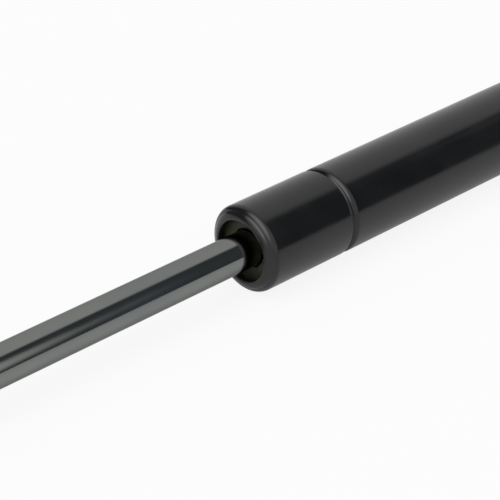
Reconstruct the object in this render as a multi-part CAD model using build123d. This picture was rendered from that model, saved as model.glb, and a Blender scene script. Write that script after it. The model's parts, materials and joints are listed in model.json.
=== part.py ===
from build123d import *
import os
from math import acos, atan2, cos, degrees, hypot, radians, sin, sqrt, tan

os.makedirs("parts", exist_ok=True)

# Gas spring with a ball socket at each end, stored fully extended. Millimetres.
# The spring's axis runs along X, from the tube's end to the rod's end, and both ball studs point to -Y.
# The origin is the centre of the tube end's stud seat, so the spring's axis lies at Y = axis_y, Z = 0.

# Rod, tube and travel
rod_dia = 8.0
tube_dia = 19.0
tube_wall = 1.2
stroke = 100.0
rod_clear = 5.0  # rod that still shows when the spring is fully in
end_reserve = 3.0  # room for oil behind the piston when the spring is fully in

# Rolled mouth of the tube: two bends with a crease between them, then a rounded lip
crease_depth = 0.75  # behind the front of the mouth
crease_drop = 1.0  # below the tube's outside
first_bend_turn = 65.0  # degrees the wall has turned in at the crease
second_bend_start = 27.0  # degrees at which the second bend leaves the crease
bend_share = 0.99  # how much of its straight leg each bend's rounding may take
lip_inset = 2.8  # from the tube's outside in to the lip
lip_round = 0.45
mouth_inside_run = 1.65  # length of the slope behind the lip
lip_step = 0.5  # height of the lip's hidden face

# Rolled groove that holds the seals in
groove_width = 1.8
groove_floor = 0.5
groove_depth = 0.65
groove_shoulder_round = 0.45
groove_flank_round = 0.3
groove_foot_round = 0.2

# Seal package behind the mouth, each piece against the next
edge_break = 0.2  # on the small edges of every inner piece
package_fit = 0.1  # all round, to the tube's bore
end_ring_depth = 2.2  # from the front of the mouth to the ring's face
end_ring_thick = 1.2
end_ring_clear = 0.75  # all round the rod
wiper_thick = 3.0
wiper_body_clear = 1.4
wiper_lip_length = 0.6
wiper_lip_nose = 0.4
lip_fit = 0.05  # from a soft lip to the rod, all round
guide_length = 9.0
guide_land = 2.25
guide_waist_depth = 0.5
bush_length = 8.0
bush_wall = 0.95
running_fit = 0.04  # from the bush to the rod, all round
support_thick = 1.2
support_clear = 0.3
seal_length = 5.0
seal_lip_length = 1.1
seal_lip_wall = 1.2
seal_notch_depth = 2.6
seal_notch_floor = 0.6
retainer_thick = 1.1
retainer_clear = 0.5

# Piston group on the rod's spigot
stop_gap = 0.05
stop_length = 4.0
stop_bead_clear = 0.65  # to the bead that the rolled groove makes inside the tube
stop_edge = 0.5
stop_fit = 0.1
spigot_dia = 5.0
spigot_fit = 0.05
disc_thick = 1.0
disc_bore_clear = 0.8  # to the tube's bore, all round
piston_length = 8.0
piston_fit = 0.15
piston_lead_in = 0.8
ring_groove_width = 2.6
ring_groove_depth = 1.5
ring_side_fit = 0.1
ring_back_fit = 0.1
ring_bore_fit = 0.02
ring_split = 0.7
ring_split_slant = 35.0
bleed_count = 3
bleed_dia = 1.1
bleed_circle_dia = 10.4
channel_width = 1.2
channel_depth = 0.5
washer_thick = 1.2
washer_wall = 1.85
rivet_wall = 1.1  # how far the peened head reaches past the spigot
rivet_height = 1.8
rivet_chamfer = 0.7

# Threads, nuts and the closed end
thread_dia = 7.9  # M8, cut a little under its name
thread_fit = 0.03
thread_chamfer = 0.8
thread_relief_depth = 0.15
thread_relief_length = 0.6
thread_reach = 14.0  # from the nut's far face to the thread's tip
nut_flats = 13.0
nut_thick = 4.0
nut_bore_chamfer = 0.4
hex_chamfer_reach = 0.6  # how far past the corners the chamfer's cone starts
plug_flange_thick = 2.5
plug_spigot_length = 8.0
plug_fit = 0.05
plug_edge = 0.3
plug_lead_in = 0.6
plug_recess_dia = 8.0
plug_recess_depth = 1.5
weld_size = 1.0
weld_crown = 0.2
weld_reach = 2.0  # over the plug's flange
weld_land = 0.2

# Ball socket, its clip and its ball stud
ball_dia = 10.0
ball_fit = 0.06
socket_length = 22.0  # from the ball's centre to the threaded face
socket_head_dia = 16.5
socket_shank_dia = 11.0
socket_neck_gap = 2.0  # from the head's sphere to the straight shank
socket_flat = 5.5  # from the ball's centre to the open face
socket_thread_depth = 11.5
drill_half_angle = 59.0  # degrees
socket_edge = 0.5
socket_mouth_chamfer = 0.4
ball_neck_dia = 6.5
ball_to_hex = 7.0
ball_neck_flare = 1.4
stud_flats = 13.0
stud_hex_thick = 5.0
stud_thread_length = 14.0
clip_wire_dia = 1.4
clip_hole_fit = 0.15
clip_half_span = 4.6  # from the ball's axis to each leg
clip_drop = 3.7  # from the ball's centre towards the open face
clip_bend = 2.2
clip_tail = 1.8  # leg that shows past the head
clip_rest_gap = 0.1  # from the clip's back to the head

# Places along the spring, worked out from the sizes above
axis_y = ball_to_hex + stud_hex_thick
rod_r = rod_dia / 2
tube_r = tube_dia / 2
bore_r = tube_r - tube_wall
package_r = bore_r - package_fit
wiper_depth = end_ring_depth + end_ring_thick
guide_depth = wiper_depth + wiper_thick
support_depth = guide_depth + guide_length
seal_depth = support_depth + support_thick
retainer_depth = seal_depth + seal_length
bead_depth = retainer_depth + retainer_thick
stop_depth = bead_depth + stop_gap
disc_depth = stop_depth + stop_length
piston_depth = disc_depth + disc_thick
washer_depth = piston_depth + piston_length
rivet_depth = washer_depth + washer_thick
rod_back_depth = rivet_depth + rivet_height
plug_back = socket_length + nut_thick
tube_back = plug_back + plug_flange_thick
mouth = tube_back + plug_spigot_length + end_reserve + stroke + rod_back_depth
rod_nut_face = mouth + stroke + rod_clear
rod_ball = rod_nut_face + nut_thick + socket_length
thread_r = thread_dia / 2
spigot_r = spigot_dia / 2
head_r = socket_head_dia / 2
shank_r = socket_shank_dia / 2


def turned(*corners):
    """Solid turned about X from corners of (x, radius) or (x, radius, rounding)."""
    points = [corner[:2] for corner in corners]
    roundings = [corner[2] if len(corner) > 2 else 0 for corner in corners]
    return revolve(make_face(FilletPolyline(*points, radius=roundings, close=True)), Axis.X)


def washer(front_depth, thick, inner_r, outer_r, edge=edge_break):
    """Flat ring that lies between two depths behind the mouth, with its outer edges broken."""
    front, back = mouth - front_depth, mouth - front_depth - thick
    return turned(
        (back, inner_r),
        (back, outer_r - edge),
        (back + edge, outer_r),
        (front - edge, outer_r),
        (front, outer_r - edge),
        (front, inner_r),
    )


def mouth_bore(depth):
    """Radius of the slope behind the lip at a depth behind the mouth."""
    start = tube_r - lip_inset + lip_step
    share = (depth - tube_wall) / mouth_inside_run
    return start + (bore_r - start) * min(max(share, 0), 1)


def hex_prism(back, thick, flats):
    """Hexagon along X with both faces chamfered to a circle, its flats facing Z."""
    prism = Plane.YZ.offset(back) * RegularPolygon(flats / 2, 6, major_radius=False)
    corner_r = flats / sqrt(3) + hex_chamfer_reach
    face_r = flats / 2
    slope = (corner_r - face_r) / sqrt(3)
    envelope = turned(
        (back, 0),
        (back, face_r),
        (back + slope, corner_r),
        (back + thick - slope, corner_r),
        (back + thick, face_r),
        (back + thick, 0),
    )
    return extrude(prism, thick) & envelope


def groove_corners():
    """The rolled groove's outside, then its bead inside, which keeps the wall's thickness."""
    half_top, half_floor = groove_width / 2, groove_floor / 2
    flank = atan2(groove_depth, half_top - half_floor)
    swell = tube_wall * tan(flank / 2)
    centre = mouth - bead_depth - half_top - swell
    low_r = tube_r - groove_depth
    outside = [
        (centre - half_top, tube_r, groove_flank_round),
        (centre - half_floor, low_r, groove_foot_round),
        (centre + half_floor, low_r, groove_foot_round),
        (centre + half_top, tube_r, groove_shoulder_round),
    ]
    inside = [
        (centre + half_top + swell, bore_r),
        (centre + half_floor + swell, low_r - tube_wall),
        (centre - half_floor - swell, low_r - tube_wall),
        (centre - half_top - swell, bore_r),
    ]
    return outside, inside


def pressure_tube():
    """One wall from the welded end, through the rolled groove, to the mouth that is rolled in twice."""
    groove_outside, groove_inside = groove_corners()
    crease_r = tube_r - crease_drop
    lip_r = tube_r - lip_inset
    first_leg = crease_drop / sin(radians(first_bend_turn))
    first_corner = crease_depth + crease_drop / tan(radians(first_bend_turn))
    first_round = bend_share * first_leg / tan(radians(first_bend_turn / 2))
    front_r = crease_r - crease_depth * tan(radians(second_bend_start))
    second_turn = radians(90 - second_bend_start)
    second_leg = min(front_r - lip_r - lip_round, crease_depth / cos(radians(second_bend_start)))
    second_round = bend_share * second_leg / tan(second_turn / 2)
    return turned(
        (tube_back, bore_r),
        (tube_back, bore_r + weld_land),
        (tube_back + weld_size, tube_r),
        *groove_outside,
        (mouth - first_corner, tube_r, first_round),
        (mouth - crease_depth, crease_r),
        (mouth, front_r, second_round),
        (mouth, lip_r, lip_round),
        (mouth - tube_wall, lip_r),
        (mouth - tube_wall, lip_r + lip_step),
        (mouth - tube_wall - mouth_inside_run, bore_r),
        *groove_inside,
    )


def end_plug():
    """Flange on the tube's end, a spigot inside it and the threaded stud, in one turned piece."""
    tip = plug_back - thread_reach
    flange_r = bore_r + weld_land
    inside = tube_back + plug_spigot_length
    inner_r = bore_r - plug_fit
    return turned(
        (tip, 0),
        (tip, thread_r - thread_chamfer),
        (tip + thread_chamfer, thread_r),
        (plug_back, thread_r),
        (plug_back, flange_r - plug_edge),
        (plug_back + plug_edge, flange_r),
        (tube_back, flange_r),
        (tube_back, inner_r),
        (inside - plug_lead_in, inner_r),
        (inside, inner_r - plug_lead_in),
        (inside, plug_recess_dia / 2),
        (inside - plug_recess_depth, 0),
    )


def end_weld():
    """Crowned bead in the bevel between the flange and the tube."""
    root_r = bore_r + weld_land
    toe = Vector(tube_back - weld_reach, root_r)
    top = Vector(tube_back + weld_size, tube_r)
    along = (top - toe).normalized()
    crest = (toe + top) / 2 + Vector(-along.Y, along.X) * weld_crown
    seam = Polyline(toe, (tube_back, root_r), top)
    return revolve(make_face([*seam.edges(), ThreePointArc(top, crest, toe)]), Axis.X)


def end_ring():
    """Steel ring that the rolled mouth clamps, with its rim sloped to the mouth's inside."""
    front, back = mouth - end_ring_depth, mouth - wiper_depth
    front_r = min(mouth_bore(end_ring_depth) - package_fit, package_r)
    slope_end = max(mouth - tube_wall - mouth_inside_run, back + edge_break)
    inner_r = rod_r + end_ring_clear
    return turned(
        (back, inner_r),
        (back, package_r),
        (slope_end, package_r),
        (front, front_r),
        (front, inner_r + edge_break),
        (front - edge_break, inner_r),
    )


def dust_wiper():
    """Soft ring with a scraping lip that leans out to the mouth."""
    front, back = mouth - wiper_depth, mouth - guide_depth
    lip_r = rod_r + lip_fit
    body_r = rod_r + wiper_body_clear
    lip = (front + back) / 2
    return turned(
        (back, lip_r + wiper_body_clear / 2),
        (back, package_r),
        (front, package_r),
        (front, body_r),
        (front - wiper_lip_length, body_r),
        (front - edge_break, lip_r + wiper_lip_nose),
        (front - 2 * edge_break, lip_r),
        (lip, lip_r),
    )


def rod_guide():
    """Guide body that carries the bush, with a lightening groove round it."""
    front, back = mouth - guide_depth, mouth - support_depth
    bush_r = rod_r + running_fit + bush_wall
    land = guide_land
    waist = guide_land + guide_waist_depth
    waist_r = package_r - guide_waist_depth
    return turned(
        (back, bush_r),
        (back, package_r - edge_break),
        (back + edge_break, package_r),
        (back + land, package_r),
        (back + waist, waist_r),
        (front - waist, waist_r),
        (front - land, package_r),
        (front - edge_break, package_r),
        (front, package_r - edge_break),
        (front, bush_r),
    )


def guide_bush():
    """Thin bearing bush that the rod runs in, pressed into the guide."""
    middle = mouth - guide_depth - guide_length / 2
    inner_r = rod_r + running_fit
    back, front = middle - bush_length / 2, middle + bush_length / 2
    outer_r = inner_r + bush_wall
    return turned(
        (back, inner_r + edge_break),
        (back, outer_r),
        (front, outer_r),
        (front, inner_r + edge_break),
        (front - edge_break, inner_r),
        (back + edge_break, inner_r),
    )


def rod_seal():
    """Lip seal: its notch opens to the gas, so that pressure holds both lips out."""
    front, back = mouth - seal_depth, mouth - retainer_depth
    lip_r = rod_r + lip_fit
    notch_r = (lip_r + seal_lip_wall + package_r - seal_lip_wall) / 2
    return turned(
        (back, lip_r + edge_break),
        (back, lip_r + seal_lip_wall),
        (back + seal_notch_depth, notch_r - seal_notch_floor / 2),
        (back + seal_notch_depth, notch_r + seal_notch_floor / 2),
        (back, package_r - seal_lip_wall),
        (back, package_r - edge_break),
        (back + edge_break, package_r),
        (front - edge_break, package_r),
        (front, package_r - edge_break),
        (front, lip_r + support_clear),
        (back + 2 * seal_lip_length, lip_r + support_clear),
        (back + seal_lip_length, lip_r),
        (back + edge_break, lip_r),
    )


def piston_rod():
    """Rod with a spigot and peened head inside the tube and a thread outside it."""
    back = mouth - rod_back_depth
    head_face = mouth - rivet_depth
    shoulder = mouth - disc_depth
    tip = rod_nut_face + thread_reach
    rivet_r = spigot_r + rivet_wall
    relief_r = thread_r - thread_relief_depth
    relief_end = rod_nut_face + thread_relief_length
    return turned(
        (back, 0),
        (back, rivet_r - rivet_chamfer),
        (back + rivet_chamfer, rivet_r),
        (head_face, rivet_r),
        (head_face, spigot_r),
        (shoulder, spigot_r),
        (shoulder, rod_r),
        (rod_nut_face - edge_break, rod_r),
        (rod_nut_face, relief_r),
        (relief_end, relief_r),
        (relief_end + thread_relief_depth, thread_r),
        (tip - thread_chamfer, thread_r),
        (tip, thread_r - thread_chamfer),
        (tip, 0),
    )


def rebound_stop():
    """Ring round the rod that meets the seal package when the spring is fully out."""
    outer_r = bore_r - groove_depth - stop_bead_clear
    return washer(stop_depth, stop_length, rod_r + stop_fit, outer_r, stop_edge)


def piston_disc():
    """Valve disc between the rod's shoulder and the piston, over the bleed holes."""
    return washer(disc_depth, disc_thick, spigot_r + spigot_fit, bore_r - disc_bore_clear)


def piston():
    """Piston with its ring groove, and bleed holes that a channel in its face joins to its rim."""
    front, back = mouth - piston_depth, mouth - washer_depth
    middle = (front + back) / 2
    rim_r = bore_r - piston_fit
    groove_r = rim_r - ring_groove_depth
    body = turned(
        (back, spigot_r + spigot_fit),
        (back, rim_r - piston_lead_in),
        (back + piston_lead_in, rim_r),
        (middle - ring_groove_width / 2, rim_r),
        (middle - ring_groove_width / 2, groove_r),
        (middle + ring_groove_width / 2, groove_r),
        (middle + ring_groove_width / 2, rim_r),
        (front - edge_break, rim_r),
        (front, rim_r - edge_break),
        (front, spigot_r + spigot_fit),
    )
    circle_r = bleed_circle_dia / 2
    floor = front - channel_depth
    channel = turned(
        (floor, circle_r - channel_width / 2),
        (floor, circle_r + channel_width / 2),
        (front, circle_r + channel_width / 2),
        (front, circle_r - channel_width / 2),
    )
    slot_size = (channel_depth, rim_r - circle_r, channel_width)
    slot = Pos(floor, circle_r, 0) * Box(*slot_size, align=(Align.MIN, Align.MIN, Align.CENTER))
    hole = Cylinder(bleed_dia / 2, piston_length, align=(Align.CENTER, Align.CENTER, Align.MIN))
    for spot in PolarLocations(circle_r, bleed_count):
        body -= Plane.YZ.offset(back) * spot * hole
    return body - channel - slot


def piston_ring():
    """Split ring that grips the tube's bore and floats in the piston's groove."""
    middle = mouth - piston_depth - piston_length / 2
    half = ring_groove_width / 2 - ring_side_fit
    outer_r = bore_r - ring_bore_fit
    inner_r = bore_r - piston_fit - ring_groove_depth + ring_back_fit
    ring = turned(
        (middle - half, inner_r),
        (middle - half, outer_r),
        (middle + half, outer_r),
        (middle + half, inner_r),
    )
    cutter = Box(6 * half, ring_split, outer_r, align=(Align.CENTER, Align.CENTER, Align.MIN))
    return ring - Pos(middle, 0, 0) * Rot(0, 0, ring_split_slant) * cutter


def piston_washer():
    """Washer under the rod's peened head."""
    inner_r = spigot_r + spigot_fit
    return washer(washer_depth, washer_thick, inner_r, inner_r + washer_wall)


def lock_nut():
    """Thin hexagon nut against the socket, in the tube end's place."""
    hole_r = thread_r + thread_fit
    wide_r = hole_r + nut_bore_chamfer
    back, front = socket_length, socket_length + nut_thick
    hole = turned(
        (back, 0),
        (back, wide_r),
        (back + nut_bore_chamfer, hole_r),
        (front - nut_bore_chamfer, hole_r),
        (front, wide_r),
        (front, 0),
    )
    return hex_prism(back, nut_thick, nut_flats) - hole


def socket_body():
    """Ball head that runs tangent down a cone into the shank, before anything is cut from it."""
    shank = head_r + socket_neck_gap
    tangent = degrees(atan2(shank_r, shank) + acos(head_r / hypot(shank, shank_r)))
    dome = CenterArc((0, 0), head_r, tangent, 180 - tangent)
    outline = [
        dome,
        Line(dome @ 0, (shank, shank_r)),
        Line((shank, shank_r), (socket_length - socket_edge, shank_r)),
        Line((socket_length - socket_edge, shank_r), (socket_length, shank_r - socket_edge)),
        Line((socket_length, shank_r - socket_edge), (socket_length, 0)),
        Line((socket_length, 0), (-head_r, 0)),
    ]
    return revolve(make_face(outline), Axis.X)


def ball_socket():
    """Socket with the ball's seat open to -Y, the threaded bore and the clip's two holes."""
    seat_r = ball_dia / 2 + ball_fit
    bore = thread_r + thread_fit
    bottom = socket_length - socket_thread_depth
    body = socket_body()
    below = Box(4 * head_r, head_r, 4 * head_r, align=(Align.CENTER, Align.MAX, Align.CENTER))
    seat = turned(
        (0, 0),
        (0, seat_r),
        (socket_flat - socket_mouth_chamfer, seat_r),
        (socket_flat, seat_r + socket_mouth_chamfer),
        (socket_flat, 0),
    )
    body -= Pos(0, -socket_flat, 0) * below
    body -= Sphere(seat_r) + Rot(0, 0, -90) * seat
    body -= turned(
        (bottom - bore / tan(radians(drill_half_angle)), 0),
        (bottom, bore),
        (socket_length - socket_edge, bore),
        (socket_length, bore + socket_edge),
        (socket_length, 0),
    )
    hole = Cylinder(clip_wire_dia / 2 + clip_hole_fit, 4 * head_r)
    for side in (-clip_half_span, clip_half_span):
        body -= Pos(side, -clip_drop, 0) * hole
    return body


def socket_clip():
    """Wire staple whose legs cross the socket below the ball, so that the ball can't drop out."""
    wire_r = clip_wire_dia / 2
    back = sqrt((head_r + wire_r + clip_rest_gap) ** 2 - clip_drop**2)
    exit_height = sqrt(head_r**2 - clip_half_span**2 - clip_drop**2)
    tail = -exit_height - clip_tail
    path = Plane.XZ.offset(clip_drop) * FilletPolyline(
        (-clip_half_span, tail),
        (-clip_half_span, back),
        (clip_half_span, back),
        (clip_half_span, tail),
        radius=clip_bend,
    )
    return sweep(Plane(path @ 0, z_dir=path % 0) * Circle(wire_r), path=path)


def ball_stud():
    """Ball, neck, hexagon and thread along -Y, with the ball's centre at the origin."""
    neck_r = ball_neck_dia / 2
    seat = ball_to_hex + stud_hex_thick
    tip = seat + stud_thread_length
    neck = turned(
        (0, 0),
        (0, neck_r),
        (ball_to_hex - ball_neck_flare, neck_r),
        (ball_to_hex, neck_r + ball_neck_flare),
        (ball_to_hex, 0),
    )
    thread = turned(
        (seat, 0),
        (seat, thread_r),
        (tip - thread_chamfer, thread_r),
        (tip, thread_r - thread_chamfer),
        (tip, 0),
    )
    along_x = Sphere(ball_dia / 2) + neck + hex_prism(ball_to_hex, stud_hex_thick, stud_flats) + thread
    return Rot(0, 0, -90) * along_x


def at_rod_end(part):
    """The same fitting turned round at the other end of the spring."""
    return Pos(rod_ball, 0, 0) * mirror(part, Plane.YZ)


fittings = {
    "lock_nut": lock_nut(),
    "ball_socket": ball_socket(),
    "socket_clip": socket_clip(),
    "ball_stud": ball_stud(),
}
pieces = {
    "pressure_tube": pressure_tube(),
    "end_plug": end_plug(),
    "end_weld": end_weld(),
    "end_ring": end_ring(),
    "dust_wiper": dust_wiper(),
    "rod_guide": rod_guide(),
    "guide_bush": guide_bush(),
    "seal_support_washer": washer(support_depth, support_thick, rod_r + support_clear, package_r),
    "rod_seal": rod_seal(),
    "seal_retaining_washer": washer(retainer_depth, retainer_thick, rod_r + retainer_clear, package_r),
    "piston_rod": piston_rod(),
    "rebound_stop": rebound_stop(),
    "piston_disc": piston_disc(),
    "piston": piston(),
    "piston_ring": piston_ring(),
    "piston_washer": piston_washer(),
}
for name, fitting in fittings.items():
    pieces[f"tube_{name}"] = fitting
    pieces[f"rod_{name}"] = at_rod_end(fitting)

for name, piece in pieces.items():
    export_step(Pos(0, axis_y, 0) * piece, f"parts/{name}.step")
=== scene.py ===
import bpy
import json
import math
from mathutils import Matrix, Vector


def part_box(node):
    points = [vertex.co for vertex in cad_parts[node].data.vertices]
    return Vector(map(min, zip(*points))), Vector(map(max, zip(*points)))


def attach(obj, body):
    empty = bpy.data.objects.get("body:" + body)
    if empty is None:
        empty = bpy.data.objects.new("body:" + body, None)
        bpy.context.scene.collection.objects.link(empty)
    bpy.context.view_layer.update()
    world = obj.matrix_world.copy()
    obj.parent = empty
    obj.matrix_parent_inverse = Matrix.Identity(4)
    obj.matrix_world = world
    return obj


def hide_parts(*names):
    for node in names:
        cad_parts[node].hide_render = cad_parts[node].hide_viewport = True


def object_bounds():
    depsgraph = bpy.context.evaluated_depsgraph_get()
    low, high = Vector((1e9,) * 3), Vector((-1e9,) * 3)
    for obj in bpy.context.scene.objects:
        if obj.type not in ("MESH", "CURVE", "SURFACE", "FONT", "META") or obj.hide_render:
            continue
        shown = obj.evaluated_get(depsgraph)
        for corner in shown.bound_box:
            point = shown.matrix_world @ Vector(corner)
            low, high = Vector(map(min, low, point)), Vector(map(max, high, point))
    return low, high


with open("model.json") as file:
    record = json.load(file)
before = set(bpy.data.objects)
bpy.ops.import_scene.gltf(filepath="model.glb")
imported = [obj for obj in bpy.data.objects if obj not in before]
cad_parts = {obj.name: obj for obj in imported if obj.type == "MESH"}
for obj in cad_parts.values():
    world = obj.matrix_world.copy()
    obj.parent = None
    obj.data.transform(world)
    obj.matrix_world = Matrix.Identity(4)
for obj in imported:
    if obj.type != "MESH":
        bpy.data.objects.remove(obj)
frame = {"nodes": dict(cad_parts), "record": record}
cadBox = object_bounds()

# The pieces are modelled in millimetres round the spring's own axis, then brought to metres at axisY.
mm = 0.001
quarterTurn = math.pi / 2
tubeLow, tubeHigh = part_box("pressure_tube")
axisY = (tubeLow.y + tubeHigh.y) / 2
lowEnd, highEnd = 0, 1


def placeOf(node, end):
    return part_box(node)[end].x / mm


mouth = placeOf("pressure_tube", highEnd)
tubeBack = placeOf("pressure_tube", lowEnd)
rodNutFace = placeOf("rod_lock_nut", lowEnd)
nutThick = placeOf("rod_lock_nut", highEnd) - rodNutFace
tubeNutFace = placeOf("tube_lock_nut", highEnd)
rodBall = rodNutFace + tubeNutFace
print("frame loaded, mouth at", round(mouth, 2), "mm")

cameraView = {
    "lens": 144.2,
    "sensor": 36,
    "elevation": 30.35,
    "azimuth": 136.7,  # 0 looks along +Y
    "distance": 407.154 * mm,  # to the plane of the mouth's centre
    "mouthRight": -1.923 * mm,  # where the mouth's centre lies from the picture's middle
    "mouthDown": 0.301 * mm,
    "clip": (0.01, 20),  # the nearest and the farthest that it sees, in metres
}


def addCamera(look):
    azimuth, elevation = math.radians(look["azimuth"]), math.radians(look["elevation"])
    level = math.cos(elevation)
    back = Vector((math.sin(azimuth) * level, -math.cos(azimuth) * level, math.sin(elevation)))
    turn = back.to_track_quat("Z", "Y")
    right, up = turn @ Vector((1, 0, 0)), turn @ Vector((0, 1, 0))
    data = bpy.data.cameras.new("camera")
    data.sensor_width = look["sensor"]
    data.lens = look["lens"]
    data.clip_start, data.clip_end = look["clip"]
    camera = bpy.data.objects.new("camera", data)
    bpy.context.scene.collection.objects.link(camera)
    camera.rotation_mode = "QUATERNION"
    camera.rotation_quaternion = turn
    mouthCentre = Vector((mouth * mm, axisY, 0))
    aside = -right * look["mouthRight"] + up * look["mouthDown"]
    camera.location = mouthCentre + aside + back * look["distance"]
    bpy.context.scene.camera = camera


addCamera(cameraView)


# Tools of the bench, in millimetres
sameSpot = 0.0005  # points nearer than this are one
shortestEdge = 0.002  # of those that softened edges leave
cutOver = 0.2  # how far a cutting shape passes the face that it cuts


def pick(piece):
    for item in bpy.context.selected_objects:
        item.select_set(False)
    piece.select_set(True)
    bpy.context.view_layer.objects.active = piece


def editMesh(piece, mode="EDGE"):
    pick(piece)
    bpy.ops.object.mode_set(mode="EDIT")
    bpy.ops.mesh.select_mode(type=mode)


def editAll(piece, mode="EDGE"):
    editMesh(piece, mode)
    bpy.ops.mesh.select_all(action="SELECT")


def leaveMesh():
    bpy.ops.object.mode_set(mode="OBJECT")


def applyPlace(piece):
    pick(piece)
    bpy.ops.object.transform_apply(location=True, rotation=True, scale=True)


def startPiece(name):
    piece = bpy.context.object
    piece.name = name
    piece.data.name = name
    applyPlace(piece)
    return piece


def growRings(rings, x, radius):
    # from the open edge at (x, radius), each ring is pulled out along the axis and made its own size
    for nextX, nextRadius in rings:
        bpy.ops.mesh.extrude_region_move(TRANSFORM_OT_translate={"value": (nextX - x, 0, 0)})
        grow = nextRadius / radius
        bpy.ops.transform.resize(value=(1, grow, grow), center_override=(nextX, 0, 0))
        x, radius = nextX, nextRadius


def closeEnds():
    bpy.ops.mesh.select_all(action="SELECT")
    bpy.ops.mesh.fill_holes(sides=0)
    bpy.ops.mesh.select_all(action="DESELECT")
    bpy.ops.mesh.select_face_by_sides(number=4, type="GREATER")
    bpy.ops.mesh.poke()


def faceOut():
    bpy.ops.mesh.select_all(action="SELECT")
    bpy.ops.mesh.normals_make_consistent(inside=False)


def turnPiece(name, rings, sides=128, bore=False):
    # rings of (x, radius) or (x, radius, bevel, steps); with a bore the last ring joins the first
    x, radius = rings[0][:2]
    bpy.ops.mesh.primitive_circle_add(
        vertices=sides, radius=radius, location=(x, 0, 0), rotation=(0, quarterTurn, 0))
    piece = startPiece(name)
    editAll(piece)
    growRings([ring[:2] for ring in rings[1:]], x, radius)
    if bore:
        bpy.ops.mesh.select_all(action="DESELECT")
        bpy.ops.mesh.select_non_manifold(extend=False)
        bpy.ops.mesh.bridge_edge_loops()
    else:
        closeEnds()
    faceOut()
    leaveMesh()
    for ring in rings:
        if len(ring) > 2:
            roundRing(piece, *ring)
    return piece


def roundRing(piece, x, radius, width, steps=3):
    mesh = piece.data
    on = [abs(v.co.x - x) < sameSpot and abs(math.hypot(v.co.y, v.co.z) - radius) < sameSpot
          for v in mesh.vertices]
    for face in mesh.polygons:
        face.select = False
    for vertex in mesh.vertices:
        vertex.select = on[vertex.index]
    for edge in mesh.edges:
        edge.select = on[edge.vertices[0]] and on[edge.vertices[1]]
    editMesh(piece)
    bpy.ops.mesh.bevel(offset=width, segments=steps, profile=0.5, affect="EDGES", clamp_overlap=True)
    leaveMesh()


def growFromBall(name, ball, start, rings, sides, rows):
    # a ball about the origin, cut off at start, from where rings grow: start is (x, radius) too
    bpy.ops.mesh.primitive_uv_sphere_add(
        segments=sides, ring_count=rows, radius=ball, location=(0, 0, 0), rotation=(0, quarterTurn, 0))
    piece = startPiece(name)
    editAll(piece)
    bpy.ops.mesh.bisect(plane_co=(start[0], 0, 0), plane_no=(1, 0, 0), clear_outer=True)
    growRings(rings, *start)
    closeEnds()
    faceOut()
    leaveMesh()
    return piece


def cut(piece, *tools, way="DIFFERENCE"):
    for tool in tools:
        pick(piece)
        step = piece.modifiers.new("cut", "BOOLEAN")
        step.operation = way
        step.solver = "EXACT"
        step.object = tool
        bpy.ops.object.modifier_apply(modifier=step.name)
        bpy.data.objects.remove(tool)


def mergeNear(piece, gap=sameSpot):
    editAll(piece, "VERT")
    bpy.ops.mesh.remove_doubles(threshold=gap)
    faceOut()
    leaveMesh()


def softenEdges(piece, width, steps=2, sharper=30):
    pick(piece)
    step = piece.modifiers.new("edges", "BEVEL")
    step.width = width
    step.segments = steps
    step.limit_method = "ANGLE"
    step.angle_limit = math.radians(sharper)
    bpy.ops.object.modifier_apply(modifier=step.name)
    mergeNear(piece, shortestEdge)


def copyPiece(piece, name):
    twin = piece.copy()
    twin.data = piece.data.copy()
    twin.name = twin.data.name = name
    bpy.context.scene.collection.objects.link(twin)
    return twin


def paint(piece, slot):
    piece.data.materials.clear()
    piece.data.materials.append(finishes[slot])


def finish(piece, body, node, slot, smooth=35):
    # millimetres to metres, onto the spring's axis, with smooth shading between the sharp edges
    piece.scale = (mm, mm, mm)
    piece.location = (0, axisY, 0)
    applyPlace(piece)
    bpy.ops.object.shade_smooth_by_angle(angle=math.radians(smooth))
    step = piece.modifiers.new("shading", "WEIGHTED_NORMAL")
    step.keep_sharp = True
    bpy.ops.object.modifier_apply(modifier=step.name)
    paint(piece, slot)
    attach(piece, body)
    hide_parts(node)


# Finishes
grainHeight = 0.0002  # of the surface's fine grain, in metres


def addNode(tree, kind, sockets=None, **settings):
    node = tree.nodes.new(kind)
    for name, value in settings.items():
        setattr(node, name, value)
    for name, value in (sockets or {}).items():
        if isinstance(value, bpy.types.NodeSocket):
            tree.links.new(value, node.inputs[name])
        else:
            node.inputs[name].default_value = value
    return node


def addMath(tree, operation, first, second=0.0, clamp=False):
    node = addNode(tree, "ShaderNodeMath", {0: first, 1: second}, operation=operation, use_clamp=clamp)
    return node.outputs[0]


def addNoise(tree, place, size, detail):
    noise = addNode(tree, "ShaderNodeTexNoise", {"Vector": place, "Scale": size, "Detail": detail})
    return noise.outputs["Fac"]


def objectPlace(tree):
    return addNode(tree, "ShaderNodeTexCoord").outputs["Object"]


def newGroup(name, inputs, output):
    group = bpy.data.node_groups.new(name, "ShaderNodeTree")
    for label, value in inputs.items():
        socket = group.interface.new_socket(label, in_out="INPUT", socket_type="NodeSocketFloat")
        socket.default_value = value
    group.interface.new_socket(output, in_out="OUTPUT", socket_type="NodeSocketFloat")
    given = group.nodes.new("NodeGroupInput")
    made = group.nodes.new("NodeGroupOutput")
    return group, given.outputs, made.inputs[output]


def makeGrainGroup():
    # noise that can be drawn out along or round the spring, in features per metre
    group, given, made = newGroup("grain", {"Along": 1000, "Round": 1000, "Detail": 2}, "Height")
    size = addNode(group, "ShaderNodeCombineXYZ",
                   {"X": given["Along"], "Y": given["Round"], "Z": given["Round"]})
    spread = addNode(group, "ShaderNodeVectorMath", {0: objectPlace(group), 1: size.outputs[0]},
                     operation="MULTIPLY")
    group.links.new(addNoise(group, spread.outputs[0], size=1.0, detail=given["Detail"]), made)
    return group


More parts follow.
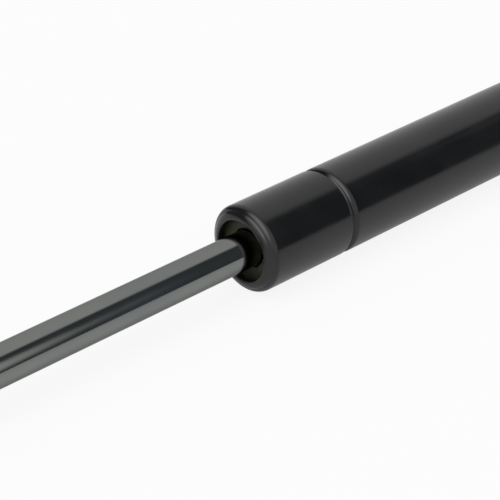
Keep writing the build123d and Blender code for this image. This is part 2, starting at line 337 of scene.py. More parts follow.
def makePatchGroup():
    # a mask of soft patches: Low and High are the noise levels between which it rises
    group, given, made = newGroup("patches", {"Size": 100, "Low": 0.4, "High": 0.7}, "Mask")
    noise = addNoise(group, objectPlace(group), given["Size"], detail=4.0)
    rise = addNode(group, "ShaderNodeMapRange",
                   {"Value": noise, "From Min": given["Low"], "From Max": given["High"]},
                   interpolation_type="SMOOTHSTEP")
    group.links.new(rise.outputs["Result"], made)
    return group


def makeWearGroup():
    # worn edges: where the surface turns sharply, broken up by noise
    group, given, made = newGroup("edgeWear", {"Start": 0.52, "End": 0.6, "Size": 400}, "Mask")
    sharp = addNode(group, "ShaderNodeNewGeometry").outputs["Pointiness"]
    edge = addNode(group, "ShaderNodeMapRange",
                   {"Value": sharp, "From Min": given["Start"], "From Max": given["End"]})
    noise = addNoise(group, objectPlace(group), given["Size"], detail=3.0)
    group.links.new(addMath(group, "MULTIPLY", edge.outputs["Result"], noise), made)
    return group


grainGroup = makeGrainGroup()
patchGroup = makePatchGroup()
wearGroup = makeWearGroup()


def placeGroup(tree, group, **values):
    node = tree.nodes.new("ShaderNodeGroup")
    node.node_tree = group
    for name, value in values.items():
        node.inputs[name].default_value = value
    return node.outputs[0]


def mixNumber(tree, mask, first, second):
    # the mix node has its factor and its two numbers in sockets 0, 2 and 3
    return addNode(tree, "ShaderNodeMix", {0: mask, 2: first, 3: second}).outputs[0]


def mixColour(tree, mask, first, second):
    # in this kind of mix node they are 0, 6 and 7, and the result is 2
    node = addNode(tree, "ShaderNodeMix", data_type="RGBA")
    for socket, value in ((node.inputs[0], mask), (node.inputs[6], first), (node.inputs[7], second)):
        if isinstance(value, bpy.types.NodeSocket):
            tree.links.new(value, socket)
        else:
            socket.default_value = value if isinstance(value, float) else (*value, 1)
    return node.outputs[2]


def spanValue(tree, mask, low, high):
    node = addNode(tree, "ShaderNodeMapRange", {"Value": mask, "To Min": low, "To Max": high})
    return node.outputs["Result"]


# Each finish has a second colour in soft patches, and is rougher where they cover it.
# "patch" holds their size and the noise levels between which they rise, "grain" the features per metre
# along and round the spring and their detail, and "wear" how sharp an edge is where wear starts and
# where it is full, and the size of its noise.
finishLooks = {
    "black_paint": {
        "colour": (0.0042, 0.0042, 0.0046), "patchColour": (0.0065, 0.0065, 0.007), "metallic": 0.0,
        "rough": (0.15, 0.21), "patch": (90, 0.35, 0.7), "grain": (900, 900, 2), "bump": 0.012,
        "wearColour": (0.015, 0.015, 0.015), "wear": (0.60, 0.74, 600)},
    "rod_steel": {
        "colour": (0.230, 0.237, 0.224), "patchColour": (0.212, 0.220, 0.222), "metallic": 1.0,
        "rough": (0.09, 0.14), "patch": (60, 0.35, 0.7), "grain": (9000, 60, 3), "bump": 0.003,
        "wearColour": (0.32, 0.32, 0.31), "wear": (0.56, 0.7, 500), "edgeTint": (0.62, 0.62, 0.64)},
    "zinc_steel": {
        "colour": (0.57, 0.58, 0.60), "patchColour": (0.50, 0.50, 0.47), "metallic": 1.0,
        "rough": (0.24, 0.36), "patch": (160, 0.35, 0.7), "grain": (6000, 400, 3), "bump": 0.02,
        "wearColour": (0.68, 0.69, 0.70), "wear": (0.53, 0.62, 500)},
    "dark_steel": {
        "colour": (0.032, 0.032, 0.022), "patchColour": (0.042, 0.042, 0.030), "metallic": 0.0,
        "specular": 0.06,
        "rough": (0.26, 0.36), "patch": (500, 0.35, 0.7), "grain": (2500, 2500, 4), "bump": 0.02,
        "wearColour": (0.05, 0.05, 0.045), "wear": (0.53, 0.62, 600)},
    "spring_wire": {
        "colour": (0.45, 0.45, 0.46), "patchColour": (0.36, 0.36, 0.36), "metallic": 1.0,
        "rough": (0.22, 0.34), "patch": (300, 0.35, 0.7), "grain": (1500, 5000, 3), "bump": 0.015,
        "wearColour": (0.55, 0.55, 0.56), "wear": (0.54, 0.64, 500)},
    "rubber": {
        "colour": (0.045, 0.044, 0.045), "patchColour": (0.06, 0.06, 0.058), "metallic": 0.0,
        "rough": (0.42, 0.55), "patch": (400, 0.35, 0.7), "grain": (3000, 3000, 4), "bump": 0.03,
        "wearColour": (0.03, 0.03, 0.03), "wear": (0.54, 0.64, 500)},
    "brass_guide": {
        "colour": (0.56, 0.42, 0.18), "patchColour": (0.44, 0.32, 0.13), "metallic": 1.0,
        "rough": (0.24, 0.38), "patch": (200, 0.35, 0.7), "grain": (8000, 150, 3), "bump": 0.02,
        "wearColour": (0.68, 0.53, 0.26), "wear": (0.53, 0.62, 500)},
    "bush_liner": {
        "colour": (0.07, 0.085, 0.07), "patchColour": (0.1, 0.1, 0.085), "metallic": 0.0,
        "rough": (0.4, 0.55), "patch": (700, 0.35, 0.7), "grain": (4000, 4000, 4), "bump": 0.03,
        "wearColour": (0.3, 0.24, 0.14), "wear": (0.53, 0.62, 500)},
    "guide_plastic": {
        "colour": (0.74, 0.73, 0.69), "patchColour": (0.69, 0.68, 0.63), "metallic": 0.0,
        "rough": (0.34, 0.46), "patch": (150, 0.35, 0.7), "grain": (5000, 300, 3), "bump": 0.015,
        "wearColour": (0.8, 0.79, 0.76), "wear": (0.53, 0.62, 500)},
    "piston_alloy": {
        "colour": (0.58, 0.58, 0.59), "patchColour": (0.5, 0.5, 0.5), "metallic": 1.0,
        "rough": (0.34, 0.5), "patch": (250, 0.35, 0.7), "grain": (2500, 2500, 4), "bump": 0.03,
        "wearColour": (0.68, 0.68, 0.69), "wear": (0.53, 0.62, 500)},
}


def makeFinish(name, look):
    material = bpy.data.materials.new(name)
    material.use_nodes = True
    tree = material.node_tree
    shader = tree.nodes["Principled BSDF"]
    shader.inputs["Metallic"].default_value = look["metallic"]
    shader.inputs["Specular Tint"].default_value = (*look.get("edgeTint", (1, 1, 1)), 1)
    shader.inputs["Specular IOR Level"].default_value = look.get("specular", 0.5)
    size, low, high = look["patch"]
    patches = placeGroup(tree, patchGroup, Size=size, Low=low, High=high)
    start, end, wearSize = look["wear"]
    worn = placeGroup(tree, wearGroup, Start=start, End=end, Size=wearSize)
    along, around, detail = look["grain"]
    grain = placeGroup(tree, grainGroup, Along=along, Round=around, Detail=detail)
    base = mixColour(tree, patches, look["colour"], look["patchColour"])
    tree.links.new(mixColour(tree, worn, base, look["wearColour"]), shader.inputs["Base Color"])
    tree.links.new(spanValue(tree, patches, *look["rough"]), shader.inputs["Roughness"])
    bump = addNode(tree, "ShaderNodeBump",
                   {"Height": grain, "Distance": grainHeight, "Strength": look["bump"]})
    tree.links.new(bump.outputs["Normal"], shader.inputs["Normal"])
    return material


finishes = {name: makeFinish(name, look) for name, look in finishLooks.items()}
for subpart in frame["record"]["subparts"]:
    paint(frame["nodes"][subpart["node"]], subpart["material_slot"])
print("finishes made:", len(finishes))

# The tube: welded end, rolled groove, and a mouth rolled in with two bends and a lip
tubeShape = {
    "radius": 9.5,
    "wall": 1.2,
    "weldLand": 0.2,
    "weldSize": 1.0,
    "beadTop": 0.9,  # half the width of the bead that the groove makes inside
    "beadFloor": 0.25,
    "beadDepth": 0.65,
    # the groove's bends from its tube side to its mouth side: each corner and end, as the way
    # from the groove's middle towards the mouth and the depth there, and the number of rings
    "grooveStart": -1.15,
    "grooveBends": [
        ((-0.80, 0.0), (-0.50, 0.15), 5),
        ((-0.24, 0.28), (-0.02, 0.62), 7),
        ((0.19, 0.945), (0.50, 0.945), 6),
        ((0.60, 0.945), (0.66, 0.84), 3),
        ((0.855, 0.49), (1.05, 0.14), 1),
        ((1.12, 0.01), (1.30, 0.0), 4),
    ],
    "creaseDepth": 0.75,
    "creaseDrop": 1.0,
    "firstTurn": 68.0,  # degrees that the wall has turned in by: before the crease,
    "secondTurn": 38.0,  # after it,
    "frontTurn": 72.0,  # and at the front
    "creaseReach": 0.08,
    "front": (0.0625, 7.35),  # depth and radius where the second bend runs into the lip's round
    "noseSteps": (14, 6, 12, 12),  # rings of the first bend, the crease, the second bend and the lip
    "lipRadius": 6.7,
    "lipReach": 0.35,
    "lipBackRound": 0.1,
    "lipStep": 0.5,
    "insideRun": 1.65,
}


def bendRings(start, corner, end, steps):
    # rings along a smooth bend that leaves start towards corner and arrives at end from it
    rings = []
    for step in range(1, steps + 1):
        t = step / steps
        rings.append(tuple(
            (1 - t) ** 2 * a + 2 * t * (1 - t) * b + t ** 2 * c for a, b, c in zip(start, corner, end)))
    return rings


def makeTube(shape):
    radius, wall = shape["radius"], shape["wall"]
    bore = radius - wall
    flank = math.atan2(shape["beadDepth"], shape["beadTop"] - shape["beadFloor"])
    swell = wall * math.tan(flank / 2)
    centre = placeOf("seal_retaining_washer", lowEnd) - shape["beadTop"] - swell
    beadTop, beadFloor = shape["beadTop"] + swell, shape["beadFloor"] + swell
    beadRadius = radius - shape["beadDepth"] - wall
    groove = [(centre + shape["grooveStart"], radius)]
    for corner, end, steps in shape["grooveBends"]:
        bendCorner, bendEnd = [(centre + away, radius - depth) for away, depth in (corner, end)]
        groove += bendRings(groove[-1], bendCorner, bendEnd, steps)
    lip, reach = shape["lipRadius"], shape["creaseReach"]
    firstTurn, secondTurn = math.radians(shape["firstTurn"]), math.radians(shape["secondTurn"])
    creaseRadius = radius - shape["creaseDrop"]
    crease = (mouth - shape["creaseDepth"], creaseRadius)
    firstLeg = shape["creaseDrop"] / math.sin(firstTurn)
    firstCorner = (crease[0] - firstLeg * math.cos(firstTurn), radius)
    intoCrease = (crease[0] - reach * math.cos(firstTurn), creaseRadius + reach * math.sin(firstTurn))
    outOfCrease = (crease[0] + reach * math.cos(secondTurn), creaseRadius - reach * math.sin(secondTurn))
    frontTurn, (frontDepth, frontRadius) = math.radians(shape["frontTurn"]), shape["front"]
    front = (mouth - frontDepth, frontRadius)
    run = ((outOfCrease[1] - frontRadius - (front[0] - outOfCrease[0]) * math.tan(frontTurn))
           / (math.tan(secondTurn) - math.tan(frontTurn)))
    frontCorner = (outOfCrease[0] + run, outOfCrease[1] - run * math.tan(secondTurn))
    lipCorner = (front[0] + (frontRadius - lip) / math.tan(frontTurn), lip)
    bendStart = (firstCorner[0] - firstLeg + reach, radius)
    lipEnd = (mouth - shape["lipReach"], lip)
    firstSteps, creaseSteps, secondSteps, lipSteps = shape["noseSteps"]
    rings = [
        (tubeBack, bore + shape["weldLand"]),
        (tubeBack + shape["weldSize"], radius),
        *groove,
        bendStart,
        *bendRings(bendStart, firstCorner, intoCrease, firstSteps),
        *bendRings(intoCrease, crease, outOfCrease, creaseSteps),
        *bendRings(outOfCrease, frontCorner, front, secondSteps),
        *bendRings(front, lipCorner, lipEnd, lipSteps),
        (mouth - wall, lip, shape["lipBackRound"], 3),
        (mouth - wall, lip + shape["lipStep"]),
        (mouth - wall - shape["insideRun"], bore),
        (centre + beadTop, bore),
        (centre + beadFloor, beadRadius),
        (centre - beadFloor, beadRadius),
        (centre - beadTop, bore),
        (tubeBack, bore),
    ]
    tube = turnPiece("tube", rings, sides=256, bore=True)
    finish(tube, "cylinder", "pressure_tube", "black_paint")


makeTube(tubeShape)
print("tube made")

# One M8 thread, modelled once and copied to both studs, the plug and the rod
threadShape = {
    "pitch": 1.25,
    "crest": 3.95,
    "root": 3.22,
    "crestFlat": 0.16,
    "rootFlat": 0.22,
    "length": 14.0,
    "relief": 0.9,  # plain neck before the first turn
    "reliefRadius": 3.15,
    "tipChamfer": 0.8,
    "buried": 1.0,  # inside the piece that carries it
    "turnsBefore": 2,  # that are cut off again, with one more past the tip
    "steps": 48,
    "clear": (0.1, 0.3, 0.01),  # how far the cutting shape passes the buried end, the crests and the tip
}


def makeThread(shape):
    pitch, root, crest = shape["pitch"], shape["root"], shape["crest"]
    flankRun = (pitch - shape["crestFlat"] - shape["rootFlat"]) / 2
    start = -shape["buried"] - shape["turnsBefore"] * pitch
    profile = [
        (shape["rootFlat"], 0),
        (flankRun, crest - root),
        (shape["crestFlat"], 0),
        (flankRun, root - crest),
    ]
    bpy.ops.mesh.primitive_circle_add(vertices=3, radius=1, location=(0, 0, 0))
    thread = startPiece("thread")
    editAll(thread, "VERT")
    bpy.ops.mesh.merge(type="CENTER")
    bpy.ops.transform.translate(value=(start, 0, root))
    for run, rise in profile:
        bpy.ops.mesh.extrude_region_move(TRANSFORM_OT_translate={"value": (run, 0, rise)})
    leaveMesh()
    pick(thread)
    screw = thread.modifiers.new("turns", "SCREW")
    screw.axis = "X"
    screw.steps = screw.render_steps = shape["steps"]
    screw.screw_offset = pitch
    wanted = math.ceil((shape["length"] + shape["buried"]) / pitch)
    screw.iterations = wanted + shape["turnsBefore"] + 1
    screw.use_smooth_shade = False
    bpy.ops.object.modifier_apply(modifier=screw.name)
    mergeNear(thread)
    for place, side in ((-shape["buried"], -1), (shape["length"], 1)):
        editAll(thread, "FACE")
        bpy.ops.mesh.bisect(
            plane_co=(place, 0, 0), plane_no=(side, 0, 0), use_fill=True, clear_outer=True)
        leaveMesh()
    mergeNear(thread)
    tip, neck = shape["length"], shape["reliefRadius"]
    behind, aside, ahead = shape["clear"]
    envelope = turnPiece("threadEnvelope", [
        (-shape["buried"] - behind, neck),
        (shape["relief"], neck),
        (shape["relief"] + crest + aside - neck, crest + aside),
        (tip - shape["tipChamfer"] - aside, crest + aside),
        (tip + ahead, crest - shape["tipChamfer"]),
    ], sides=96)
    cut(thread, envelope, way="INTERSECT")
    return thread


thread = makeThread(threadShape)
print("thread made:", len(thread.data.polygons), "faces")

# The rod, with its spigot and peened head inside the tube and a thread outside
rodShape = {
    "radius": 4.0,
    "spigot": 2.5,
    "head": 3.6,
    "headChamfer": 0.7,
    "headRound": 0.3,
    "endChamfer": 0.2,
    "endRound": 0.05,
    "seat": 3.8,  # face that the lock nut meets
}


def makeRod(shape, threadPiece):
    radius, headFace = shape["radius"], placeOf("piston_washer", lowEnd)
    back, shoulder = placeOf("piston_rod", lowEnd), placeOf("piston_disc", highEnd)
    rod = turnPiece("rod", [
        (back, shape["head"] - shape["headChamfer"], shape["headRound"], 4),
        (back + shape["headChamfer"], shape["head"], shape["headRound"], 4),
        (headFace, shape["head"]),
        (headFace, shape["spigot"]),
        (shoulder, shape["spigot"]),
        (shoulder, radius),
        (rodNutFace - shape["endChamfer"], radius, shape["endRound"], 2),
        (rodNutFace, shape["seat"]),
    ], sides=256)
    end = copyPiece(threadPiece, "rodThread")
    end.location.x = rodNutFace
    applyPlace(end)
    cut(rod, end, way="UNION")
    finish(rod, "rod", "piston_rod", "rod_steel")


makeRod(rodShape, thread)
print("rod made")

# The steel ring in the mouth and the soft wiper behind it
ringShape = {
    "inner": 4.3,
    "outer": 8.2,
    "frontOuter": 7.77,  # where its face meets the slope behind the tube's lip
    "edge": 0.15,  # rounding of the bore's edges
    "outerEdge": 0.1,
    "frontEdge": 0.08,
}
wiperShape = {
    "outer": 8.2,
    "outerEdge": 0.2,
    "bodyInner": 5.5,
    "bodyEdge": 0.12,
    "valley": (0.3, 0.25),  # depth and drop of the valley between the body and the lip
    "lipInner": 4.05,
    "lipNose": 0.4,
    "lipDepths": (0.1, 0.35),  # of the lip's nose and of the end of its slope
    "lipEdge": 0.08,
    "softEdge": 0.1,
    "heelEdge": 0.2,
    "back": 4.75,
}


def makeMouthRing(shape):
    front, back = placeOf("end_ring", highEnd), placeOf("end_ring", lowEnd)
    slopeEnd = mouth - tubeShape["wall"] - tubeShape["insideRun"]
    ring = turnPiece("mouthRing", [
        (back, shape["inner"], shape["edge"], 3),
        (back, shape["outer"], shape["outerEdge"], 2),
        (slopeEnd, shape["outer"], shape["outerEdge"], 2),
        (front, shape["frontOuter"], shape["frontEdge"], 2),
        (front, shape["inner"], shape["edge"], 4),
    ], sides=192, bore=True)
    finish(ring, "cylinder", "end_ring", "dark_steel")


def makeWiper(shape):
    front, back = placeOf("dust_wiper", highEnd), placeOf("dust_wiper", lowEnd)
    middle = (front + back) / 2
    soft, (valleyDepth, valleyDrop) = shape["softEdge"], shape["valley"]
    noseDepth, slopeDepth = shape["lipDepths"]
    wiper = turnPiece("wiper", [
        (back, shape["back"], soft, 2),
        (back, shape["outer"], shape["outerEdge"], 3),
        (front, shape["outer"], shape["outerEdge"], 3),
        (front, shape["bodyInner"], shape["bodyEdge"], 3),
        (front - valleyDepth, shape["bodyInner"] - valleyDrop, soft, 3),
        (front - noseDepth, shape["lipInner"] + shape["lipNose"], soft, 3),
        (front - slopeDepth, shape["lipInner"], shape["lipEdge"], 3),
        (middle, shape["lipInner"], shape["heelEdge"], 3),
    ], sides=192, bore=True)
    finish(wiper, "cylinder", "dust_wiper", "rubber")


makeMouthRing(ringShape)
makeWiper(wiperShape)
print("mouth ring and wiper made")

# The plug that closes the tube, and its weld
plugShape = {
    "flange": 8.5,
    "fit": 8.25,
    "edge": 0.3,
    "leadIn": 0.6,
    "underThread": 3.6,  # where the mesh closes behind the thread
    "recess": 4.0,
    "recessDepth": 1.5,
    "recessEdge": 0.2,
    "recessTip": 0.4,
}
weldShape = {
    "reach": 2.0,
    "crown": 0.2,
    "across": (0.15, 0.3, 0.45, 0.6, 0.75, 0.88),  # where its rings lie from toe to top
    "ripples": 48,
    "rippleColumns": 4,  # one in so many is drawn in
    "rippleDepth": 0.08,
    "rippleMargin": (0.2, 0.05),  # kept free at the toe and top, and over the plug
}


def makePlug(shape, threadPiece):
    back, inside = tubeNutFace, placeOf("end_plug", highEnd)
    plug = turnPiece("plug", [
        (back, shape["underThread"]),
        (back, shape["flange"], shape["edge"], 3),
        (tubeBack, shape["flange"]),
        (tubeBack, shape["fit"]),
        (inside, shape["fit"], shape["leadIn"], 2),
        (inside, shape["recess"], shape["recessEdge"], 3),
        (inside - shape["recessDepth"], shape["recessTip"]),
    ], sides=128)
    end = copyPiece(threadPiece, "plugThread")
    end.rotation_euler = (0, 0, math.pi)
    end.location.x = back
    applyPlace(end)
    cut(plug, end, way="UNION")
    finish(plug, "cylinder", "end_plug", "zinc_steel")


def makeWeld(shape):
    # a crowned bead: columns of its crest are drawn in at equal steps, which leaves ripples round it
    sides = shape["ripples"] * shape["rippleColumns"]
    root = plugShape["flange"]
    outer = tubeShape["radius"]
    toe, top = tubeBack - shape["reach"], tubeBack + tubeShape["weldSize"]
    rings = [(tubeBack, root), (toe, root)]
    lean = (top - toe) / math.hypot(top - toe, outer - root)
    for share in shape["across"]:
        rise = 4 * shape["crown"] * share * (1 - share)
        rings.append((toe + (top - toe) * share, root + (outer - root) * share + rise * lean))
    rings.append((top, outer))
    weld = turnPiece("weldBead", rings, sides=sides, bore=True)
    mesh = weld.data
    for face in mesh.polygons:
        face.select = False
    for edge in mesh.edges:
        edge.select = False
    ends, over = shape["rippleMargin"]
    for vertex in mesh.vertices:
        spot = vertex.co
        drawn = round(math.atan2(spot.z, spot.y) / math.tau * sides) % shape["rippleColumns"] == 0
        onCrest = toe + ends < spot.x < top - ends and math.hypot(spot.y, spot.z) > root + over
        vertex.select = drawn and onCrest
    editMesh(weld, "VERT")
    shrink = 1 - shape["rippleDepth"] / outer
    bpy.ops.transform.resize(value=(1, shrink, shrink), center_override=(tubeBack, 0, 0))
    leaveMesh()
    finish(weld, "cylinder", "end_weld", "black_paint", smooth=60)


makePlug(plugShape, thread)
makeWeld(weldShape)
print("plug and weld made")

# Lock nuts
nutShape = {"flats": 13.0, "bore": 3.98, "boreChamfer": 0.4, "edge": 0.12}
coneShape = {
    "reach": 0.6,  # how far past the corners it would run
    "inset": 0.25,  # how far inside the flats it starts
}


def makeHexagon(name, back, thick, flats, cone):
    # the corners are cut back by a cone on both faces, as on a turned nut
    corner = flats / math.sqrt(3)
    bpy.ops.mesh.primitive_cylinder_add(
        vertices=6, radius=corner, depth=thick, location=(back + thick / 2, 0, 0),
        rotation=(0, quarterTurn, 0))
    hexagon = startPiece(name)
    editAll(hexagon)
    cornerUp = max(v.co.z for v in hexagon.data.vertices) > (flats / 2 + corner) / 2
    if cornerUp:
        bpy.ops.transform.rotate(value=quarterTurn, orient_axis="X", center_override=(0, 0, 0))
    leaveMesh()
    narrow, wide = flats / 2 - cone["inset"], corner + cone["reach"] - cone["inset"]
    slope = (corner + cone["reach"] - flats / 2) / math.sqrt(3)
    envelope = turnPiece("hexagonEnvelope", [
        (back, narrow),
        (back + slope, wide),
        (back + thick - slope, wide),
        (back + thick, narrow),
    ], sides=96)
    cut(hexagon, envelope, way="INTERSECT")
    return hexagon


def makeNuts(shape):
    back, front = tubeNutFace - nutThick, tubeNutFace
    nut = makeHexagon("tubeLockNut", back, nutThick, shape["flats"], coneShape)
    wide = shape["bore"] + shape["boreChamfer"]
    hole = turnPiece("nutHole", [
        (back - cutOver, wide + cutOver),
        (back + shape["boreChamfer"], shape["bore"]),
        (front - shape["boreChamfer"], shape["bore"]),
        (front + cutOver, wide + cutOver),
    ], sides=96)
    cut(nut, hole)
    softenEdges(nut, shape["edge"])
    twin = copyPiece(nut, "rodLockNut")
    twin.location.x = rodNutFace - back
    applyPlace(twin)
    finish(nut, "cylinder", "tube_lock_nut", "zinc_steel")
    finish(twin, "rod", "rod_lock_nut", "zinc_steel")


makeNuts(nutShape)
print("lock nuts made")


def turnedRound(piece, name):
    # the same fitting at the rod's end: half a turn round its stud's axis
    twin = copyPiece(piece, name)
    twin.rotation_euler = (0, math.pi, 0)
    twin.location = (rodBall, 0, 0)
    applyPlace(twin)
    return twin


# Ball sockets: a ball head running into a shank, open to -Y
socketShape = {
    "head": 8.25,
    "shank": 5.5,
    "neckGap": 2.0,
    "length": 22.0,
    "seat": 5.06,
    "flat": 5.5,
    "bore": 3.98,
    "boreDepth": 11.5,
    "drillTip": (2.2, 0.3),  # the cone left by the drill: its length and its last radius
    "edge": 0.5,
    "mouthChamfer": 0.4,
    "seatCut": 0.01,  # past its centre the seat's cutting ball goes on as a cylinder
    "mouthOver": 0.3,  # how far that shape passes the flat
    "clipHole": 0.85,
    "clipSpan": 4.6,
    "clipDrop": 3.7,
    "softening": 0.12,
    "cutterSize": 20.0,
    "holeCutterLength": 30.0,
}


def makeSocket(shape):
    head, shank, length = shape["head"], shape["shank"], shape["length"]
    neck = head + shape["neckGap"]
    tangent = math.atan2(shank, neck) + math.acos(head / math.hypot(neck, shank))
    drillDepth, (tipLength, tipRadius) = length - shape["boreDepth"], shape["drillTip"]
    start = (head * math.cos(tangent), head * math.sin(tangent))
    socket = growFromBall("tubeSocket", head, start, [
        (neck, shank),
        (length - shape["edge"], shank),
        (length, shank - shape["edge"]),
        (length, shape["bore"] + shape["edge"]),
        (length - shape["edge"], shape["bore"]),
        (drillDepth, shape["bore"]),
        (drillDepth - tipLength, tipRadius),
    ], sides=128, rows=90)
    size, over = shape["cutterSize"], shape["mouthOver"]
    bpy.ops.mesh.primitive_cube_add(size=size, location=(0, -shape["flat"] - size / 2, 0))
    below = startPiece("flatCutter")
    seat = growFromBall("seatCutter", shape["seat"], (shape["seatCut"], shape["seat"]), [
        (shape["flat"] - shape["mouthChamfer"], shape["seat"]),
        (shape["flat"] + over, shape["seat"] + shape["mouthChamfer"] + over),
    ], sides=128, rows=64)
    seat.rotation_euler = (0, 0, -quarterTurn)
    applyPlace(seat)
    holes = []
    for side in (-1, 1):
        bpy.ops.mesh.primitive_cylinder_add(
            vertices=32, radius=shape["clipHole"], depth=shape["holeCutterLength"],
            location=(side * shape["clipSpan"], -shape["clipDrop"], 0))
        holes.append(startPiece("clipHole"))
    cut(socket, below, seat, *holes)
    softenEdges(socket, shape["softening"], sharper=35)
    twin = turnedRound(socket, "rodSocket")
    finish(socket, "cylinder", "tube_ball_socket", "zinc_steel")
    finish(twin, "rod", "rod_ball_socket", "zinc_steel")


makeSocket(socketShape)
print("ball sockets made")

# Wire clips: up one leg, over the head and down the other
clipShape = {"wire": 0.7, "halfSpan": 4.6, "drop": 3.7, "bend": 2.2, "end": 0.2, "bendSteps": 12}


def makeClip(shape):
    low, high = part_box("tube_socket_clip")
    tail, top = low.z / mm, high.z / mm - shape["wire"]
    span, bend, drop = shape["halfSpan"], shape["bend"], -shape["drop"]
    bpy.ops.mesh.primitive_circle_add(vertices=20, radius=shape["wire"], location=(-span, drop, tail))
    clip = startPiece("tubeClip")
    editAll(clip)
    straights = ((0, 0, top - bend - tail), (2 * (span - bend), 0, 0), (0, 0, tail - top + bend))
    for straight, bendX in zip(straights, (-span + bend, span - bend, None)):
        bpy.ops.mesh.extrude_region_move(TRANSFORM_OT_translate={"value": straight})
        if bendX is not None:
            bpy.ops.mesh.spin(steps=shape["bendSteps"], angle=quarterTurn,
                              center=(bendX, drop, top - bend), axis=(0, 1, 0))
    closeEnds()
    bpy.ops.mesh.select_all(action="SELECT")
    bpy.ops.mesh.remove_doubles(threshold=sameSpot)
    faceOut()
    leaveMesh()
    softenEdges(clip, shape["end"], steps=3, sharper=60)
    twin = copyPiece(clip, "rodClip")
    twin.location.x = rodBall
    applyPlace(twin)
    finish(clip, "tube_clip", "tube_socket_clip", "spring_wire")
    finish(twin, "rod_clip", "rod_socket_clip", "spring_wire")


makeClip(clipShape)
print("clips made")

# Ball studs: ball, neck, hexagon and thread, modelled along X and turned to -Y
studShape = {
    "ball": 5.0,
    "neck": 3.25,
    "flare": 1.4,
    # the flare starts in a bend: its reach to each side, and how far the neck has grown at its middle
    # and at its end
    "flareBend": (0.3, 0.1, 0.34),
    "toHexagon": 7.0,
    "hexagon": 5.0,
    "flats": 13.0,
    "buried": 1.0,  # of the flare, in the hexagon
    "edge": 0.12,
}


def makeStud(shape, threadPiece):
    ball, neck, flare, face = [shape[key] for key in ("ball", "neck", "flare", "toHexagon")]
    bend, firstRise, nextRise = shape["flareBend"]
    stud = growFromBall("tubeStud", ball, (math.sqrt(ball ** 2 - neck ** 2), neck), [
        (face - flare - bend, neck),
        (face - flare, neck + firstRise),
        (face - flare + bend, neck + nextRise),
        (face + shape["buried"], neck + flare + shape["buried"]),
    ], sides=96, rows=64)
    hexagon = makeHexagon("studHexagon", face, shape["hexagon"], shape["flats"], coneShape)
    softenEdges(hexagon, shape["edge"])
    cut(stud, hexagon, way="UNION")
    end = copyPiece(threadPiece, "studThread")
    end.location.x = face + shape["hexagon"]
    applyPlace(end)
    cut(stud, end, way="UNION")
    stud.rotation_euler = (0, 0, -quarterTurn)
    applyPlace(stud)
    twin = turnedRound(stud, "rodStud")
    finish(stud, "tube_stud", "tube_ball_stud", "zinc_steel")
    finish(twin, "rod_stud", "rod_ball_stud", "zinc_steel")


makeStud(studShape, thread)
bpy.data.objects.remove(thread)
print("ball studs made")

# Floor, light and surroundings
studio = {
    "floorSize": 8.0,
    "floorColour": (0.78, 0.78, 0.78),
    "floorPatches": (3, 0.3, 0.8, 0.99),  # their size, the noise levels of their edge, and their level
    "floorGlow": 0.88,  # how much of the floor's seen brightness the object can't shade
    "mirroredGlow": 0.25,  # the same in the object's reflections
    # painted light: in the object's reflections the floor glows brightest next to the spring and fainter
    # away from it
    "floorFade": (0.012, 0.30, 1.0, 0.1),  # the reflected floor: from and to in metres, and its levels
    "room": (0.085, 0.098, 0.11),
}
# Each soft light of the surroundings: where it stands, how many degrees from there it is still full and
# has faded to nothing, and its colour
softLights = {
    "tent": {"toward": (-0.48, -0.60, 0.64), "full": 38.5, "none": 50.5, "colour": (0.77, 0.77, 0.76)},
    "wall": {"toward": (0.65, 0.64, 0.41), "full": 68, "none": 73.3, "colour": (0.87, 0.87, 0.86)},
    "overhead": {"toward": (0.69, 0.10, 0.715), "full": 10, "none": 42, "colour": (2.9, 2.9, 2.9)},
    "lamp": {"toward": (-0.76, 0.27, 0.60), "full": 2, "none": 8, "colour": (0.4, 0.4, 0.4)},
}


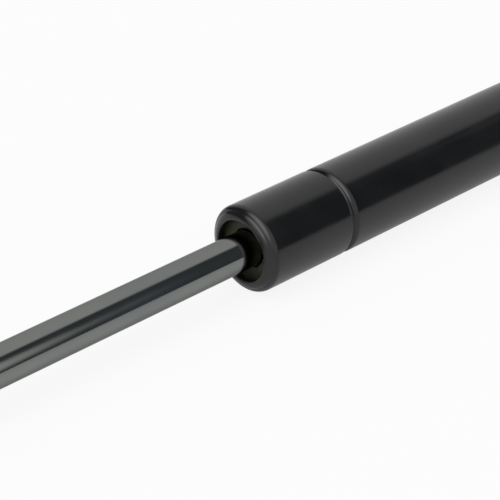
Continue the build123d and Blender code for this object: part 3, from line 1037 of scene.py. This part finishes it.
def makeFloor(look):
    bpy.ops.mesh.primitive_plane_add(size=look["floorSize"], location=(0, 0, cadBox[0].z))
    floor = startPiece("floor")
    material = bpy.data.materials.new("paleFloor")
    material.use_nodes = True
    tree = material.node_tree
    tree.nodes.clear()
    output = tree.nodes.new("ShaderNodeOutputMaterial")
    size, low, high, level = look["floorPatches"]
    patches = placeGroup(tree, patchGroup, Size=size, Low=low, High=high)
    plain = look["floorColour"]
    colour = mixColour(tree, patches, plain, [value * level for value in plain])
    matt = addNode(tree, "ShaderNodeBsdfDiffuse", {"Color": colour})
    rays = addNode(tree, "ShaderNodeLightPath").outputs
    across = addNode(tree, "ShaderNodeSeparateXYZ", {0: objectPlace(tree)})
    aside = addMath(tree, "ABSOLUTE", addMath(tree, "SUBTRACT", across.outputs["Y"], axisY))
    # painted light: the floor glow that reflections see is brightest next to the spring's axis and fades
    # away from it
    near, far, bright, dim = look["floorFade"]
    fade = addNode(tree, "ShaderNodeMapRange", {
        "Value": addMath(tree, "LOGARITHM", aside, 10.0),
        "From Min": math.log10(near), "From Max": math.log10(far), "To Min": bright, "To Max": dim})
    glossy = rays["Is Glossy Ray"]
    strength = mixNumber(tree, glossy, 1.0, fade.outputs["Result"])
    glow = addNode(tree, "ShaderNodeEmission", {"Strength": strength})
    seen = addMath(tree, "ADD", rays["Is Camera Ray"], glossy)
    seen = addMath(tree, "ADD", seen, rays["Is Transmission Ray"], clamp=True)
    part = mixNumber(tree, glossy, look["floorGlow"], look["mirroredGlow"])
    share = addMath(tree, "MULTIPLY", seen, part)
    mix = addNode(tree, "ShaderNodeMixShader", {0: share, 1: matt.outputs[0], 2: glow.outputs[0]})
    tree.links.new(mix.outputs[0], output.inputs["Surface"])
    floor.data.materials.append(material)


def makeWorld(look, lights):
    world = bpy.data.worlds.new("studio")
    bpy.context.scene.world = world
    world.use_nodes = True
    tree = world.node_tree
    direction = addNode(tree, "ShaderNodeTexCoord").outputs["Generated"]
    colour = look["room"]
    for light in lights.values():
        centre = tuple(Vector(light["toward"]).normalized())
        toward = addNode(tree, "ShaderNodeVectorMath", {0: direction, 1: centre}, operation="DOT_PRODUCT")
        level = addNode(tree, "ShaderNodeMapRange", {
            "Value": toward.outputs["Value"],
            "From Min": math.cos(math.radians(light["none"])),
            "From Max": math.cos(math.radians(light["full"]))}, interpolation_type="SMOOTHSTEP")
        colour = mixColour(tree, level.outputs["Result"], colour, light["colour"])
    fromCamera = addNode(tree, "ShaderNodeLightPath").outputs["Is Camera Ray"]
    seen = mixColour(tree, fromCamera, colour, (1, 1, 1))
    tree.links.new(seen, tree.nodes["Background"].inputs["Color"])


makeFloor(studio)
makeWorld(studio, softLights)
print("floor and surroundings made")

bpy.context.scene.view_settings.view_transform = "Standard"
